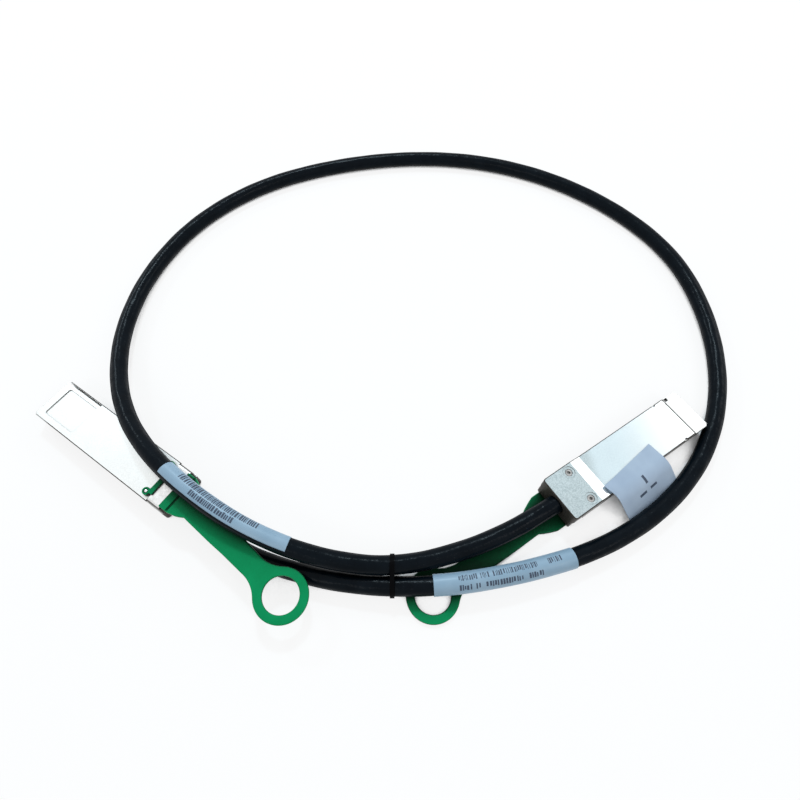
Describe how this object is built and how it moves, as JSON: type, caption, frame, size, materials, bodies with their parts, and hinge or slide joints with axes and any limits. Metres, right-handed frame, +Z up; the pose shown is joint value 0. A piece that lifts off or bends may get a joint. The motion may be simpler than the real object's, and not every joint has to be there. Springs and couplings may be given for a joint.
{
  "type": "direct attach copper cable",
  "caption": "Round black copper cable, loosely looped and tied, with a flat metal latching connector and a green pull tab at each end.",
  "frame": {"origin": "the floor, under the middle of the two connectors", "axes": "+Z up from the floor, +Y from the connectors towards the far side of the loop, +X from connector A to connector B"},
  "size_m": [0.2899, 0.2409, 0.0207],
  "materials": {
    "plated_casting": "satin, fine cast grain under nickel plating",
    "screw_steel": "satin",
    "circuit_board": "satin solder mask",
    "gold_plating": "polished",
    "chip_case": "matte",
    "wire_foil": "satin",
    "ferrule_metal": "satin",
    "latch_steel": "satin, stamped",
    "spring_steel": "bright",
    "green_moulding": "smooth, slightly soft",
    "cable_black": "satin jacket",
    "label_film": "matte film",
    "tie_black": "satin",
    "flag_paper": "matte paper"
  },
  "bodies": {
    "cable_and_plugs": {"plug_a_base_housing": "plated_casting", "plug_a_cover_housing": "plated_casting", "plug_a_cover_screws": "screw_steel", "plug_a_paddle_card": "circuit_board", "plug_a_contact_pads": "gold_plating", "plug_a_memory_chip": "chip_case", "plug_a_wire_pairs": "wire_foil", "plug_a_crimp_ferrule": "ferrule_metal", "plug_b_base_housing": "plated_casting", "plug_b_cover_housing": "plated_casting", "plug_b_cover_screws": "screw_steel", "plug_b_paddle_card": "circuit_board", "plug_b_contact_pads": "gold_plating", "plug_b_memory_chip": "chip_case", "plug_b_wire_pairs": "wire_foil", "plug_b_crimp_ferrule": "ferrule_metal", "plug_a_return_springs": "spring_steel", "plug_b_return_springs": "spring_steel", "cable_jacket": "cable_black", "wrap_label_a": "label_film", "wrap_label_b": "label_film", "cable_tie": "tie_black", "flag_label": "flag_paper"},
    "plug_a_latch": {"plug_a_latch_slider": "latch_steel", "plug_a_pull_tab": "green_moulding"},
    "plug_b_latch": {"plug_b_latch_slider": "latch_steel", "plug_b_pull_tab": "green_moulding"}
  },
  "joints": [
    {"name": "tab_a_pull", "type": "slide", "parent": "cable_and_plugs", "child": "plug_a_latch", "axis": [0.8208, -0.5705, 0.0292], "range_m": [0, 0.0025], "stiffness_N_per_m": 400, "springref_m": -0.001, "deforming": ["plug_a_return_springs"]},
    {"name": "tab_b_pull", "type": "slide", "parent": "cable_and_plugs", "child": "plug_b_latch", "axis": [-0.8306, -0.5561, 0.029], "range_m": [0, 0.0025], "stiffness_N_per_m": 400, "springref_m": -0.001, "deforming": ["plug_b_return_springs"]}
  ]
}
